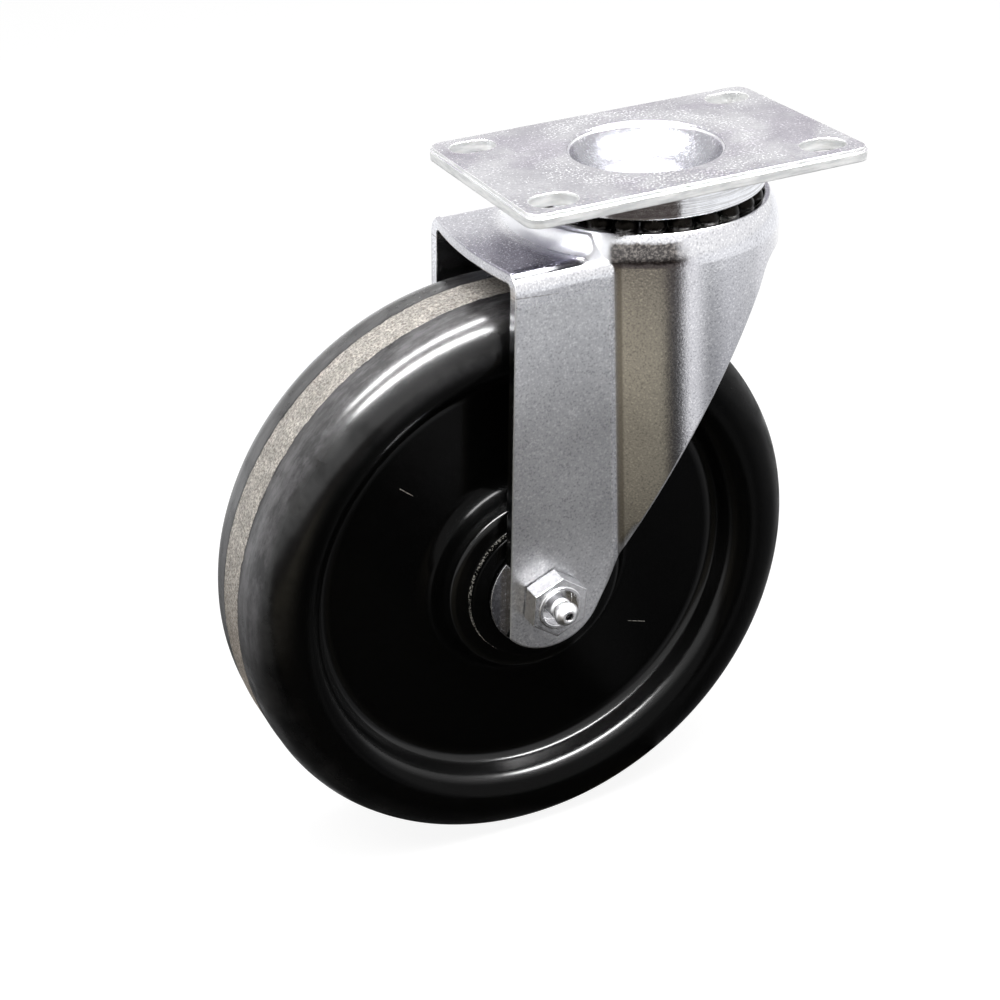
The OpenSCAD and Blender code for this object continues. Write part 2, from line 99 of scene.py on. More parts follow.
# Points on an arc: centre plus radius times (cos, sin) of an angle that runs from start to end, in degrees.
def arcPoints(centre, radius, start, end, count):
    angle = np.radians(np.linspace(start, end, count))
    return np.stack([centre[0] + radius * np.cos(angle), centre[1] + radius * np.sin(angle)], -1)


# A quadratic curve from one point to another, drawn towards a corner between them.
def curveThrough(start, corner, end, count):
    t = np.linspace(0, 1, count)[:, None]
    return (1 - t) ** 2 * np.array(start) + 2 * t * (1 - t) * np.array(corner) + t ** 2 * np.array(end)


def newMaterial(name):
    material = bpy.data.materials.new(name)
    material.use_nodes = True
    tree = material.node_tree
    return material, tree, tree.nodes["Principled BSDF"]


# A material without the usual shader, for the floor and the cards, with its tree and the socket to fill.
def stageMaterial(name):
    material, tree, shader = newMaterial(name)
    tree.nodes.remove(shader)
    return material, tree, tree.nodes["Material Output"].inputs["Surface"]


# A shader group. Its inputs are named with their usual values, numbers or vectors, and it puts out masks.
def newGroup(name, inputs, outputs):
    group = bpy.data.node_groups.new(name, "ShaderNodeTree")
    for label, value in inputs.items():
        kind = "NodeSocketVector" if isinstance(value, tuple) else "NodeSocketFloat"
        group.interface.new_socket(label, in_out="INPUT", socket_type=kind).default_value = value
    for label in outputs:
        group.interface.new_socket(label, in_out="OUTPUT", socket_type="NodeSocketFloat")
    return group, group.nodes.new("NodeGroupInput").outputs, group.nodes.new("NodeGroupOutput").inputs


def placeGroup(tree, group, **values):
    node = tree.nodes.new("ShaderNodeGroup")
    node.node_tree = group
    for key, value in values.items():
        node.inputs[key.replace("_", " ")].default_value = value
    return node


def fillSocket(tree, socket, value):
    if isinstance(value, bpy.types.NodeSocket):
        tree.links.new(value, socket)
    else:
        socket.default_value = value


# Adds a node. Its inputs are given by name, with _ for a space, or by number as i0, i1 and so on.
def addNode(tree, kind, settings=None, **sockets):
    node = tree.nodes.new(kind)
    for key, value in (settings or {}).items():
        setattr(node, key, value)
    for key, value in sockets.items():
        label = int(key[1:]) if key[0] == "i" and key[1:].isdigit() else key.replace("_", " ")
        fillSocket(tree, node.inputs[label], value)
    return node


def mathNode(tree, operation, a, b=0.0, c=0.0, clamp=False):
    settings = {"operation": operation, "use_clamp": clamp}
    return addNode(tree, "ShaderNodeMath", settings, i0=a, i1=b, i2=c).outputs[0]


def vectorMath(tree, operation, a, b=(0, 0, 0)):
    node = addNode(tree, "ShaderNodeVectorMath", {"operation": operation}, i0=a, i1=b)
    return node.outputs[0] if operation == "SUBTRACT" else node.outputs["Value"]


def times(tree, first, *others):
    for value in others:
        first = mathNode(tree, "MULTIPLY", first, value)
    return first


# How far a value is from a middle, whichever side it is on.
def away(tree, value, middle):
    return mathNode(tree, "ABSOLUTE", mathNode(tree, "SUBTRACT", value, middle))


def smoothMask(tree, value, low, high, outLow=0.0, outHigh=1.0):
    return addNode(tree, "ShaderNodeMapRange", {"interpolation_type": "SMOOTHSTEP"},
                   i0=value, i1=low, i2=high, i3=outLow, i4=outHigh).outputs[0]


# The same for a length, with the span it changes over in millimetres.
def spanMask(tree, value, span, outLow=0.0, outHigh=1.0):
    return smoothMask(tree, value, span[0] * mm, span[1] * mm, outLow, outHigh)


def mixColor(tree, factor, a, b, blend="MIX"):
    node = addNode(tree, "ShaderNodeMix", {"data_type": "RGBA", "blend_type": blend}, i0=factor, i6=a, i7=b)
    return node.outputs[2]


def tinted(tree, color, tint):
    return mixColor(tree, 1.0, color, tint, "MULTIPLY")


def noiseNode(tree, vector, scale, detail=3.0, roughness=0.55):
    return addNode(tree, "ShaderNodeTexNoise", Vector=vector, Scale=scale, Detail=detail,
                   Roughness=roughness).outputs["Fac"]


noiseSpread = (0.3, 0.7)  # most of a noise lies between these levels


# A noise on a place, as a mask between two of its levels, with what it puts out at each.
def noiseMask(tree, place, scale, levels, detail=3.0, roughness=0.55, out=(0.0, 1.0)):
    return smoothMask(tree, noiseNode(tree, place, scale, detail, roughness), *levels, *out)


def objectPlace(tree):
    return tree.nodes.new("ShaderNodeTexCoord").outputs["Object"]


def stretched(tree, place, scale):
    return addNode(tree, "ShaderNodeMapping", i0=place, i3=scale).outputs[0]


def partsOf(tree, vector):
    return list(addNode(tree, "ShaderNodeSeparateXYZ", i0=vector).outputs)


# The distance from the swivel's axis, which is where x and y are 0.
def swivelReach(tree, place):
    return vectorMath(tree, "LENGTH", stretched(tree, place, (1, 1, 0)))


# Zinc grain: soft clouds, fine crystals, bright flecks and dark specks, all from noise on object coordinates.
# The flecks can lie denser on a ring round the swivel's axis.
grainPattern = {"fineScale": 2.6, "patchScale": 160.0, "patchPull": 0.3, "levelSoft": 0.06,
                "crystalShare": 0.6}


def makeZincGrain(pattern):
    tree, given, put = newGroup("zincGrain", {
        "Cloud Scale": 70.0, "Crystal Scale": 900.0, "Fleck Scale": 1500.0, "Fleck Level": 0.64,
        "Gather Radius": 0.0, "Gather Width": 0.004, "Gather": 0.0},
        ("Cloud", "Crystal", "Fleck", "Speck", "Height"))
    place, level, soft = objectPlace(tree), given["Fleck Level"], pattern["levelSoft"]
    crystal = noiseNode(tree, place, given["Crystal Scale"], 2.0, 0.6)
    fine = noiseNode(tree, place, times(tree, given["Crystal Scale"], pattern["fineScale"]), 2.0, 0.7)
    dots = noiseNode(tree, place, given["Fleck Scale"], 1.5, 0.5)
    off = away(tree, swivelReach(tree, place), given["Gather Radius"])
    off = mathNode(tree, "DIVIDE", off, given["Gather Width"])
    ringed = times(tree, smoothMask(tree, off, 1.0, 0.0), given["Gather"])
    pull = pattern["patchPull"]
    patchy = mathNode(tree, "MULTIPLY_ADD", noiseNode(tree, place, pattern["patchScale"], 2.0), pull,
                      mathNode(tree, "ADD", dots, -pull / 2))
    gather = mathNode(tree, "ADD", patchy, ringed)
    values = {"Cloud": noiseNode(tree, place, given["Cloud Scale"], 4.0, 0.6), "Crystal": crystal,
              "Fleck": smoothMask(tree, gather, level, mathNode(tree, "ADD", level, soft)),
              "Speck": smoothMask(tree, gather, mathNode(tree, "SUBTRACT", 1.0, level),
                                  mathNode(tree, "SUBTRACT", 1.0 - soft, level)),
              "Height": mathNode(tree, "MULTIPLY_ADD", crystal, pattern["crystalShare"],
                                 times(tree, fine, 1 - pattern["crystalShare"]))}
    for label, value in values.items():
        tree.links.new(value, put[label])
    return tree


# Hairline scratches: the middle lines of two stretched and turned noises, kept only in a few patches.
hairlinePattern = {"directions": ((0.4, 14.0), (1.9, 18.0)),  # turn in radians and stretch
                   "lineWidth": 0.012, "patch": (0.55, 0.68)}


def makeHairlines(pattern):
    tree, given, put = newGroup("hairlineScratches", {"Scale": 60.0, "Patch Scale": 40.0}, ("Mask",))
    place = objectPlace(tree)
    lines = []
    for turn, stretch in pattern["directions"]:
        turned = (turn, turn * 0.6, turn)
        mapped = addNode(tree, "ShaderNodeMapping", i0=place, i2=turned, i3=(1.0, stretch, 1.0))
        line = noiseNode(tree, mapped.outputs[0], given["Scale"], 2.0, 0.5)
        lines.append(smoothMask(tree, away(tree, line, 0.5), pattern["lineWidth"], 0.0))
    patch = noiseMask(tree, place, given["Patch Scale"], pattern["patch"], 2.0)
    tree.links.new(times(tree, mathNode(tree, "MAXIMUM", *lines), patch), put["Mask"])
    return tree


# A straight scratch in a plane across the axle: a soft line along a direction, broken by noise.
scratchPattern = {"softFrom": 0.3, "breakScale": 1500.0, "breakLevel": (0.35, 0.55), "breakCover": (0.4, 1.0)}


def makeScratchMark(pattern):
    tree, given, put = newGroup("scratchMark", {
        "Middle": (0, 0, 0), "Along": (1, 0, 0), "Across": (0, 0, 1),
        "Half Length": 0.002, "Half Width": 0.0002}, ("Mask",))
    place = objectPlace(tree)
    offset = vectorMath(tree, "SUBTRACT", place, given["Middle"])
    along, across = (mathNode(tree, "ABSOLUTE", vectorMath(tree, "DOT_PRODUCT", offset, given[label]))
                     for label in ("Along", "Across"))
    long = mathNode(tree, "LESS_THAN", along, given["Half Length"])
    thin = smoothMask(tree, mathNode(tree, "DIVIDE", across, given["Half Width"]), 1.0, pattern["softFrom"])
    broken = noiseMask(tree, place, pattern["breakScale"], pattern["breakLevel"], 2.0,
                       out=pattern["breakCover"])
    tree.links.new(times(tree, long, thin, broken), put["Mask"])
    return tree


zincGrain = makeZincGrain(grainPattern)
hairlines = makeHairlines(hairlinePattern)
scratchMark = makeScratchMark(scratchPattern)


# Places a list of scratches, each a start, an end and a half width in millimetres, and gives one mask.
def scratchMasks(tree, marks):
    total = 0.0
    for start, end, halfWidth in marks:
        a, b = np.array(start) * mm, np.array(end) * mm
        length = np.linalg.norm(b - a)
        along = (b - a) / length
        mark = placeGroup(tree, scratchMark, Middle=(a + b) / 2, Along=along,
                          Across=np.cross(along, (0, 1, 0)), Half_Length=length / 2,
                          Half_Width=halfWidth * mm)
        total = mathNode(tree, "MAXIMUM", total, mark.outputs["Mask"])
    return total


edgeLean = (0.995, 0.9)  # the cosine of the lean where an edge starts, and where it is full


# How far the rounded normal leans from the flat one: a mask of the edges, burnished by handling and painted
# brighter as a painted highlight.
def edgeMask(tree, rounded):
    flat = tree.nodes.new("ShaderNodeNewGeometry").outputs["Normal"]
    return smoothMask(tree, vectorMath(tree, "DOT_PRODUCT", rounded, flat), *edgeLean)


# In the looks, a pair of lengths is where a mask starts and where it is full, in millimetres. Reach is
# measured from the swivel's axis, side from the middle plane, and X, Y and Z are the part's own.
plateLook = {"cloudScale": 55.0, "crystalScale": 1300.0, "fleckScale": 1600.0, "fleckLevel": 0.632,
             "flecks": 0.8, "specks": 0.6, "speckColor": (0.36, 0.35, 0.38, 1), "scratches": 0.3,
             "edgeShine": 0.9, "dark": (0.41, 0.40, 0.43, 1), "light": (0.59, 0.585, 0.605, 1),
             "crystalTint": (0.80, 0.80, 0.82, 1), "rough": (0.14, 0.26), "bump": 0.45, "edge": 0.6,
             "gatherReach": 26.0, "gatherWidth": 7.0, "gather": 0.075,
             "dishReach": (21.0, 16.0), "dish": (0.27, 0.275, 0.30, 1), "dishCover": 0.7, "dishRougher": 0.05,
             "wallDark": (0.7, 0.71, 0.71, 1), "wallLight": (0.97, 0.97, 0.96, 1), "wallRougher": 0.2,
             "wallUpright": (0.5, 0.2), "wallMetal": 0.25, "wallScale": 120.0, "wallLevel": (0.35, 0.65),
             "wallStretch": (1, 1, 6),
             "stain": (0.70, 0.66, 0.73, 1), "stainScale": 38.0, "stainLevel": (0.46, 0.63),
             "stainCover": (0.0, 0.75)}


# The plate: its cut edges and slot walls are duller and paler than its faces, and its dish is smooth.
def finishPlate(tree, look, place, shown, rough):
    inDish = spanMask(tree, swivelReach(tree, place), look["dishReach"])
    normal = tree.nodes.new("ShaderNodeNewGeometry").outputs["Normal"]
    upright = mathNode(tree, "ABSOLUTE", partsOf(tree, normal)[2])
    wall = times(tree, smoothMask(tree, upright, *look["wallUpright"]),
                 mathNode(tree, "SUBTRACT", 1.0, inDish))
    stain = noiseMask(tree, place, look["stainScale"], look["stainLevel"], 4.0, 0.6, look["stainCover"])
    shown = mixColor(tree, stain, shown, tinted(tree, shown, look["stain"]))
    along = stretched(tree, place, look["wallStretch"])
    wavy = noiseMask(tree, along, look["wallScale"], look["wallLevel"], 4.0)
    wallColor = mixColor(tree, wavy, look["wallDark"], look["wallLight"])
    shown = mixColor(tree, wall, shown, wallColor)
    shown = mixColor(tree, times(tree, inDish, look["dishCover"]), shown, look["dish"])
    rough = mathNode(tree, "MULTIPLY_ADD", wall, look["wallRougher"], rough)
    rough = mathNode(tree, "MULTIPLY_ADD", inDish, look["dishRougher"], rough)
    return shown, rough, mathNode(tree, "MULTIPLY_ADD", wall, look["wallMetal"] - 1, 1.0)


forkLook = {"cloudScale": 45.0, "crystalScale": 1900.0, "fleckScale": 1900.0, "fleckLevel": 0.625,
            "flecks": 0.6, "specks": 0.4, "speckColor": (0.3, 0.3, 0.31, 1), "scratches": 0.15,
            "edgeShine": 0.9, "dark": (0.71, 0.71, 0.73, 1), "light": (0.80, 0.80, 0.82, 1),
            "crystalTint": (0.82, 0.82, 0.84, 1), "rough": (0.07, 0.13), "bump": 0.34, "edge": 0.55,
            # the fold where a leg runs into the drum, and the rise of the drum from the crown
            "fold": 2.4, "foldX": -21.96, "foldWidth": (4.6, 2.6), "foldSide": (21.5, 23.0),
            "foldZ": (-19.5, -21.0),
            "riseReach": 34.0, "riseWidth": (4.5, 3.0), "riseZ": -15.5, "riseHeight": (4.2, 3.0),
            "riseX": (-24.5, -26.5),
            "crownZ": (-16.9, -16.3), "crownReach": (35.5, 39.5), "crownTint": (0.28, 0.265, 0.325, 1),
            "crownScale": 70.0, "crownLevel": (0.25, 0.7), "crownCover": (1.0, 0.8),
            "crownFadeY": (14.0, -6.0), "crownFade": (0.5, 1.0), "crownRougher": 0.1,
            "sparkle": (0.95, 0.95, 0.98, 1), "sparkleScale": 1700.0, "sparkleLevel": (0.61, 0.67),
            "sparkleCover": 0.7,
            "legZ": (-19.0, -26.0), "legX": (-22.2, -24.2), "legSide": (23.6, 24.3), "legRougher": 0.22,
            # painted shade on the legs by height: lighter at the top, darkest in the middle, none at the foot
            "legShadeTop": (0.76, 0.765, 0.76, 1), "legShadeMid": (0.53, 0.53, 0.52, 1), "legShadeLow": (1.0, 1.0, 0.99, 1),
            "legShadeMidZ": (-30.0, -65.0), "legShadeLowZ": (-80.0, -118.0),
            # the ramp from the crown up into the drum is painted lighter, a painted highlight
            "rampInner": (25.5, 27.5), "rampOuter": (37.2, 34.5), "rampZ": (-18.5, -17.2),
            "rampX": (-19.0, -22.5), "ramp": (0.95, 0.96, 0.99, 1), "rampHighlightCover": 0.8, "rampRougher": 0.3,
            # a dark reflection painted, brown and ragged, round the top of the drum at the front
            "paintedDarkReflectionTopZ": (-12.8, -13.6), "paintedDarkReflectionLowZ": (-18.4, -17.7), "paintedDarkReflectionX": (-23.6, -22.2),
            "paintedDarkReflectionEndX": (-3.5, -8.5), "paintedDarkReflectionRagged": 1.6, "paintedDarkReflectionEndRagged": 4.0, "raggedScale": 500.0,
            "drumSide": (22.0, 23.5), "paintedDarkReflectionScale": 1500.0, "paintedDarkReflectionLevel": (0.42, 0.62),
            "paintedDarkReflection": (0.022, 0.017, 0.014, 1), "paintedShadeAndLineTone": (0.20, 0.18, 0.165, 1), "paintedDarkReflectionCover": 0.92,
            # painted shade in the crease where a leg folds into the drum; the draw lines are marks
            "creaseX": -21.5, "creaseWidth": (1.0, 0.4), "creaseZ": (-17.2, -18.2), "lineCover": 0.6,
            "drawLines": [((-48.3, -24.5, -21.3), (-42.6, -24.5, -21.7), 0.22),
                          ((-42.8, -24.5, -21.75), (-36.9, -24.5, -22.1), 0.2)]}


# The radius over which the fork's normals turn: wide along the fold and at the rise, else small.
def foldRadius(tree, look):
    place = objectPlace(tree)
    x, y, z = partsOf(tree, place)
    fold = times(tree, spanMask(tree, away(tree, x, look["foldX"] * mm), look["foldWidth"]),
                 spanMask(tree, mathNode(tree, "ABSOLUTE", y), look["foldSide"]),
                 spanMask(tree, z, look["foldZ"]))
    ring = spanMask(tree, away(tree, swivelReach(tree, place), look["riseReach"] * mm), look["riseWidth"])
    level = spanMask(tree, away(tree, z, look["riseZ"] * mm), look["riseHeight"])
    rise = times(tree, ring, level, spanMask(tree, x, look["riseX"]))
    mask = mathNode(tree, "MAXIMUM", fold, rise)
    return mathNode(tree, "MULTIPLY_ADD", mask, (look["fold"] - look["edge"]) * mm, look["edge"] * mm)


# The fork: a tinted, softer crown, rougher flats on the legs with painted shade by height, a ramp painted
# lighter as a highlight, a painted dark reflection round the top of the drum at the front, painted shade in
# the crease, and faint draw lines.
def finishFork(tree, look, place, shown, rough):
    x, y, z = partsOf(tree, place)
    side, reach = mathNode(tree, "ABSOLUTE", y), swivelReach(tree, place)

    onCrown = times(tree, spanMask(tree, z, look["crownZ"]), spanMask(tree, reach, look["crownReach"]))
    cloudy = noiseMask(tree, place, look["crownScale"], look["crownLevel"], out=look["crownCover"])
    cloudy = times(tree, cloudy, spanMask(tree, y, look["crownFadeY"], *look["crownFade"]))
    shown = mixColor(tree, times(tree, onCrown, cloudy), shown, tinted(tree, shown, look["crownTint"]))
    sparkle = noiseMask(tree, place, look["sparkleScale"], look["sparkleLevel"], 1.5)
    shown = mixColor(tree, times(tree, sparkle, onCrown, look["sparkleCover"]), shown, look["sparkle"])
    rough = mathNode(tree, "MULTIPLY_ADD", onCrown, look["crownRougher"], rough)

    # the legs' flats are rougher, and painted shade tints them by height
    onLeg = times(tree, spanMask(tree, z, look["legZ"]), spanMask(tree, x, look["legX"]),
                  spanMask(tree, side, look["legSide"]))
    upperLegShade = mixColor(tree, spanMask(tree, z, look["legShadeMidZ"]), look["legShadeTop"], look["legShadeMid"])
    legShade = mixColor(tree, spanMask(tree, z, look["legShadeLowZ"]), upperLegShade, look["legShadeLow"])
    shown = mixColor(tree, onLeg, shown, tinted(tree, shown, legShade))
    rough = mathNode(tree, "MULTIPLY_ADD", onLeg, look["legRougher"], rough)

    # the ramp painted lighter as a painted highlight, and rougher
    onRamp = times(tree, spanMask(tree, reach, look["rampInner"]), spanMask(tree, reach, look["rampOuter"]),
                   spanMask(tree, z, look["rampZ"]), spanMask(tree, x, look["rampX"]))
    shown = mixColor(tree, times(tree, onRamp, look["rampHighlightCover"]), shown, look["ramp"])
    rough = mathNode(tree, "MULTIPLY_ADD", onRamp, look["rampRougher"], rough)

    # painted shade along the crease at the drum's foot, and faint draw lines on the leg
    onDrum = spanMask(tree, side, look["drumSide"])
    crease = times(tree, spanMask(tree, away(tree, x, look["creaseX"] * mm), look["creaseWidth"]), onDrum,
                   spanMask(tree, z, look["creaseZ"]))
    shown = mixColor(tree, times(tree, crease, look["lineCover"]), shown, look["paintedShadeAndLineTone"])
    drawn = times(tree, scratchMasks(tree, look["drawLines"]), look["lineCover"])
    shown = mixColor(tree, drawn, shown, look["paintedShadeAndLineTone"])

    # the painted dark reflection round the top of the drum, with ragged edges
    width = look["paintedDarkReflectionRagged"] * mm
    raggedZ = mathNode(tree, "MULTIPLY_ADD", noiseNode(tree, place, look["raggedScale"], 4.0, 0.7), width,
                       mathNode(tree, "ADD", z, -width / 2))
    raggedX = mathNode(tree, "MULTIPLY_ADD", noiseNode(tree, place, look["raggedScale"]),
                       look["paintedDarkReflectionEndRagged"] * mm, x)
    paintedDarkReflection = times(tree, spanMask(tree, raggedZ, look["paintedDarkReflectionTopZ"]),
                  spanMask(tree, raggedZ, look["paintedDarkReflectionLowZ"]), spanMask(tree, x, look["paintedDarkReflectionX"]),
                  spanMask(tree, raggedX, look["paintedDarkReflectionEndX"]), onDrum)
    paintedDarkReflectionColor = mixColor(tree, noiseMask(tree, place, look["paintedDarkReflectionScale"], look["paintedDarkReflectionLevel"], 3.0, 0.7),
                     look["paintedDarkReflection"], look["paintedShadeAndLineTone"])
    return mixColor(tree, times(tree, paintedDarkReflection, look["paintedDarkReflectionCover"]), shown, paintedDarkReflectionColor), rough


zincShine = {"fleck": (0.96, 0.96, 0.98, 1), "scratch": (0.9, 0.9, 0.92, 1), "edge": (0.95, 0.95, 0.96, 1),
             "hairlineScale": 70.0, "roughLevel": (0.2, 0.8), "bumpHeight": 0.1, "latheRings": (60, 60, 4200),
             "latheLevel": (0.35, 0.65)}


# Zinc or steel: two tones in soft clouds, darker crystals, specks, flecks, hairlines, and edges painted
# brighter, as burnish and as a painted highlight.
def zincMaterial(name, look):
    material, tree, shader = newMaterial(name)
    place = objectPlace(tree)
    node = placeGroup(tree, zincGrain, Cloud_Scale=look["cloudScale"], Crystal_Scale=look["crystalScale"],
                      Fleck_Scale=look["fleckScale"], Fleck_Level=look["fleckLevel"])
    grain = node.outputs
    scratch = placeGroup(tree, hairlines, Scale=zincShine["hairlineScale"]).outputs["Mask"]
    edge = foldRadius(tree, look) if "fold" in look else look["edge"] * mm
    rounded = addNode(tree, "ShaderNodeBevel", {"samples": 6}, Radius=edge).outputs[0]

    shown = mixColor(tree, smoothMask(tree, grain["Cloud"], *noiseSpread), look["dark"], look["light"])
    crystals = smoothMask(tree, grain["Crystal"], *noiseSpread)
    shown = mixColor(tree, crystals, tinted(tree, shown, look["crystalTint"]), shown)
    for mask, cover, color in ((grain["Speck"], look["specks"], look["speckColor"]),
                               (grain["Fleck"], look["flecks"], zincShine["fleck"]),
                               (scratch, look["scratches"], zincShine["scratch"]),
                               (edgeMask(tree, rounded), look["edgeShine"], zincShine["edge"])):
        shown = mixColor(tree, times(tree, mask, cover), shown, color)
    rough = smoothMask(tree, grain["Crystal"], *zincShine["roughLevel"], *look["rough"])
    shader.inputs["Metallic"].default_value = 1.0

    if "gather" in look:
        shown, rough, metal = finishPlate(tree, look, place, shown, rough)
        tree.links.new(metal, shader.inputs["Metallic"])
        node.inputs["Gather Radius"].default_value = look["gatherReach"] * mm
        node.inputs["Gather Width"].default_value = look["gatherWidth"] * mm
        node.inputs["Gather"].default_value = look["gather"]
    if "crownTint" in look:
        shown, rough = finishFork(tree, look, place, shown, rough)
    if "turned" in look:  # fine rings, as a lathe leaves them
        rings = noiseMask(tree, stretched(tree, place, zincShine["latheRings"]), 1.0, zincShine["latheLevel"])
        shown = mixColor(tree, rings, tinted(tree, shown, look["turned"]), shown)
    tree.links.new(shown, shader.inputs["Base Color"])
    tree.links.new(rough, shader.inputs["Roughness"])

    if "lean" in look:  # the ring's wall leans inwards by this many degrees
        slope = times(tree, partsOf(tree, place)[2], -math.tan(math.radians(look["lean"])))
        rounded = addNode(tree, "ShaderNodeBump", Strength=1.0, Distance=1.0, Height=slope,
                          Normal=rounded).outputs[0]
    bump = addNode(tree, "ShaderNodeBump", Strength=look["bump"], Distance=zincShine["bumpHeight"] * mm,
                   Height=grain["Height"], Normal=rounded)
    tree.links.new(bump.outputs[0], shader.inputs["Normal"])
    return material


brightLook = {"cloudScale": 120.0, "crystalScale": 900.0, "fleckScale": 1500.0, "fleckLevel": 0.68,
              "flecks": 0.4, "specks": 0.3, "speckColor": (0.4, 0.4, 0.4, 1), "scratches": 0.3,
              "edgeShine": 0.8, "dark": (0.74, 0.75, 0.77, 1), "light": (0.86, 0.87, 0.89, 1),
              "crystalTint": (0.92, 0.92, 0.93, 1), "rough": (0.1, 0.2), "bump": 0.25, "edge": 0.3}
headLook = dict(brightLook, dark=(0.66, 0.66, 0.67, 1), light=(0.76, 0.76, 0.77, 1),
                crystalTint=(0.82, 0.82, 0.83, 1), rough=(0.14, 0.24))
fittingLook = dict(brightLook, dark=(0.86, 0.86, 0.87, 1), light=(0.95, 0.95, 0.96, 1),
                   crystalTint=(0.96, 0.96, 0.96, 1), rough=(0.28, 0.4))
# the washers between the hub and the legs are darker, a painted shade
washerLook = dict(brightLook, dark=(0.22, 0.22, 0.24, 1), light=(0.36, 0.36, 0.39, 1), rough=(0.16, 0.3))
ringLook = dict(brightLook, lean=5.0, turned=(0.7, 0.69, 0.68, 1), rough=(0.09, 0.16), edge=0.35)
pinLook = dict(brightLook, dark=(0.62, 0.63, 0.66, 1), light=(0.74, 0.75, 0.78, 1), rough=(0.2, 0.3),
               flecks=0.1, specks=0.0)
steelLook = dict(brightLook, dark=(0.5, 0.5, 0.51, 1), light=(0.6, 0.6, 0.6, 1), rough=(0.08, 0.18),
                 turned=(0.8, 0.8, 0.8, 1))
bushLook = dict(steelLook, dark=(0.28, 0.27, 0.26, 1), light=(0.38, 0.37, 0.36, 1), rough=(0.22, 0.36))
plateZinc = zincMaterial("plateZinc", plateLook)
forkZinc = zincMaterial("forkZinc", forkLook)
brightZinc = zincMaterial("brightZinc", brightLook)
shadedWasherZinc = zincMaterial("shadedWasherZinc", washerLook)
headZinc = zincMaterial("headZinc", headLook)
fittingZinc = zincMaterial("fittingZinc", fittingLook)
turnedZinc = zincMaterial("turnedZinc", ringLook)
pinZinc = zincMaterial("pinZinc", pinLook)
groundSteel = zincMaterial("groundSteel", steelLook)
bushSteel = zincMaterial("bushSteel", bushLook)
print("zinc materials made")


wheelShape = {"radius": 76.2, "halfWidth": 19.05, "landHalf": 5.1, "crownDrop": 0.25, "shoulder": 9.5,
              "wrap": 42.0, "webHalf": 9.5, "taper": 4.3, "hubFoot": 30.0, "footRound": 5.0, "hubStep": 24.4,
              "stepShare": 0.72, "stepRound": 1.3, "grooveRound": 0.7, "hubFace": 19.4, "hubHalf": 20.0,
              "bore": 11.21, "edge": 0.5, "segments": 300,
              # the waviness: the radius it starts from, the length it grows over, its height, and for each
              # wave the count round the wheel, the lean along the axle and the share
              "waveFrom": 70.0, "waveGrow": 6.0, "waveHeight": 0.025,
              "waves": ((7, 0.4, 1.0), (19, -0.2, 0.6))}


# Half of the wheel's section, as (distance from the axle, distance from the middle plane).
def wheelHalfProfile(shape):
    bead = (shape["radius"] - shape["crownDrop"] - shape["shoulder"], shape["halfWidth"] - shape["shoulder"])
    wrapEnd = 90 + shape["wrap"]
    wrapR, wrapY = arcPoints(bead, shape["shoulder"], wrapEnd, wrapEnd, 1)[0]
    wall, web, hub, edge = wrapR - shape["taper"], shape["webHalf"], shape["hubHalf"], shape["edge"]
    bore, face, land = shape["bore"], shape["hubFace"], shape["landHalf"]
    foot, stepR, stepRound = shape["hubFoot"], shape["hubStep"], shape["stepRound"]
    step = web + shape["stepShare"] * (hub - web)
    treadR, crownR = shape["radius"], shape["radius"] - shape["crownDrop"] * 0.9
    return np.vstack([
        denseProfile([(bore, 0), (bore, hub - edge)], 4),
        arcPoints((bore + edge, hub - edge), edge, 180, 90, 5),
        denseProfile([(bore + 0.6, hub), (face - 0.7, hub)], 1.6),  # the hub's face
        arcPoints((face - edge, hub - edge), edge, 90, 20, 6),
        arcPoints((face + 0.9, hub - 1.5), shape["grooveRound"], 200, 260, 5),  # a groove below the face
        denseProfile([(face + 1.3, hub - 2.2), (stepR - 1.4, step + 0.1)], 0.8),
        arcPoints((stepR - stepRound, step - stepRound), stepRound, 80, 8, 8),  # the hub's step
        arcPoints((foot + 1, web + shape["footRound"]), shape["footRound"], -152, -92, 14),  # the hub's foot
        denseProfile([(foot + 1.2, web), (wall - 1.9, web)], 1.5),  # the web
        curveThrough((wall - 1.7, web), (wall + 1.12, web), (wall + 1.74, web + 2.3), 12),  # recess foot
        curveThrough((wrapR - 1.75, wrapY - 2.3), (wrapR - 1.2, wrapY - 0.75),
                     (wrapR + 0.35, wrapY + 0.3), 14),  # the bead at the recess's rim
        arcPoints(bead, shape["shoulder"], wrapEnd - 4, 0, 42),  # the shoulder
        denseProfile([(crownR, bead[1] - 0.6), (treadR - 0.03, land + 0.35), (treadR, land)], 0.7),
        denseProfile([(treadR, land - 0.4), (treadR, 0.0)], 0.8)])


# The wheel is its section turned about the axle: point = axle + r (cos a, sin a) across and y along the axle.
# The tread land has a slow, tiny waviness, as a moulded and ground face has.
def makeWheel(shape):
    half = wheelHalfProfile(shape)
    section = np.vstack([half * [1, -1], half[-2:0:-1]])  # round the section so that the faces point outwards
    angle = np.linspace(0, 2 * np.pi, shape["segments"], endpoint=False)[:, None]
    radius, along = section[None, :, 0], section[None, :, 1]
    outer = np.clip((radius - shape["waveFrom"]) / shape["waveGrow"], 0, 1)
    wave = sum(share * np.sin(count * angle + lean * along) for count, lean, share in shape["waves"])
    r = radius + shape["waveHeight"] * outer * wave
    points = np.stack([axleX + r * np.cos(angle), along + 0 * r, axleZ + r * np.sin(angle)], -1)
    return gridMesh("wheelMoulding", points, closeRows=True, closeColumns=True)
